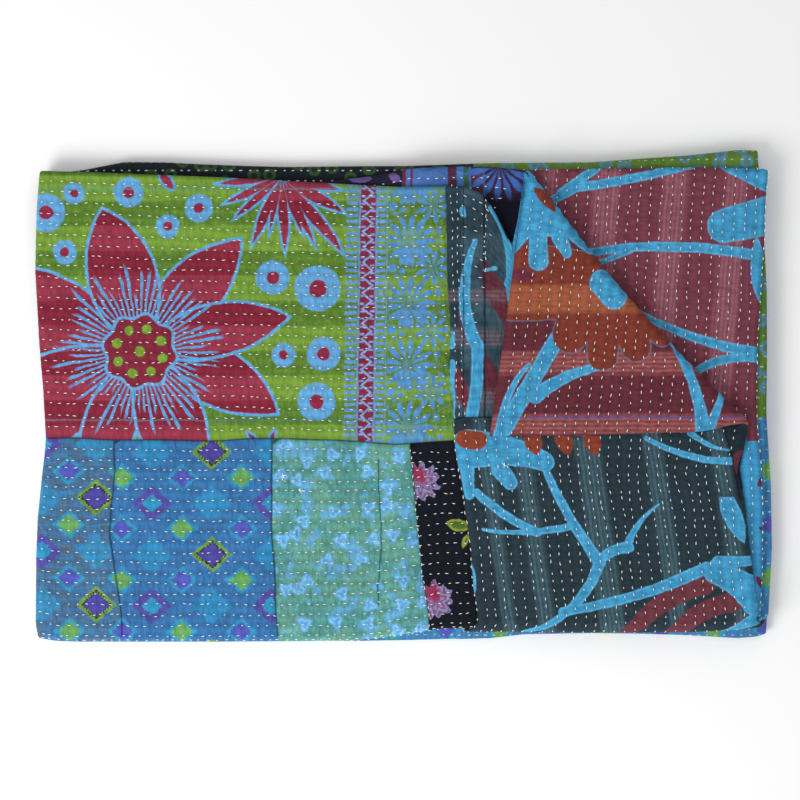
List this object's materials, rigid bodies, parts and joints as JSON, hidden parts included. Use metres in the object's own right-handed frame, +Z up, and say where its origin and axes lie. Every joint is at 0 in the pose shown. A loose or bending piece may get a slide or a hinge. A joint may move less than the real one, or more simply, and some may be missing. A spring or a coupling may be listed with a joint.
{
  "type": "throw blanket",
  "caption": "Quilted patchwork throw, folded flat into a pad with a flap across one half and one corner turned over.",
  "frame": {"origin": "middle of the folded pad's outline, on the surface it rests on", "axes": "+X along the pad's longer side, towards the folded flap; +Y towards the free hems of the top layer; +Z up"},
  "size_m": [0.6338, 0.4236, 0.0354],
  "materials": {
    "quilted_cotton": "matt"
  },
  "bodies": {
    "root": {"throw": "quilted_cotton"}
  },
  "joints": []
}
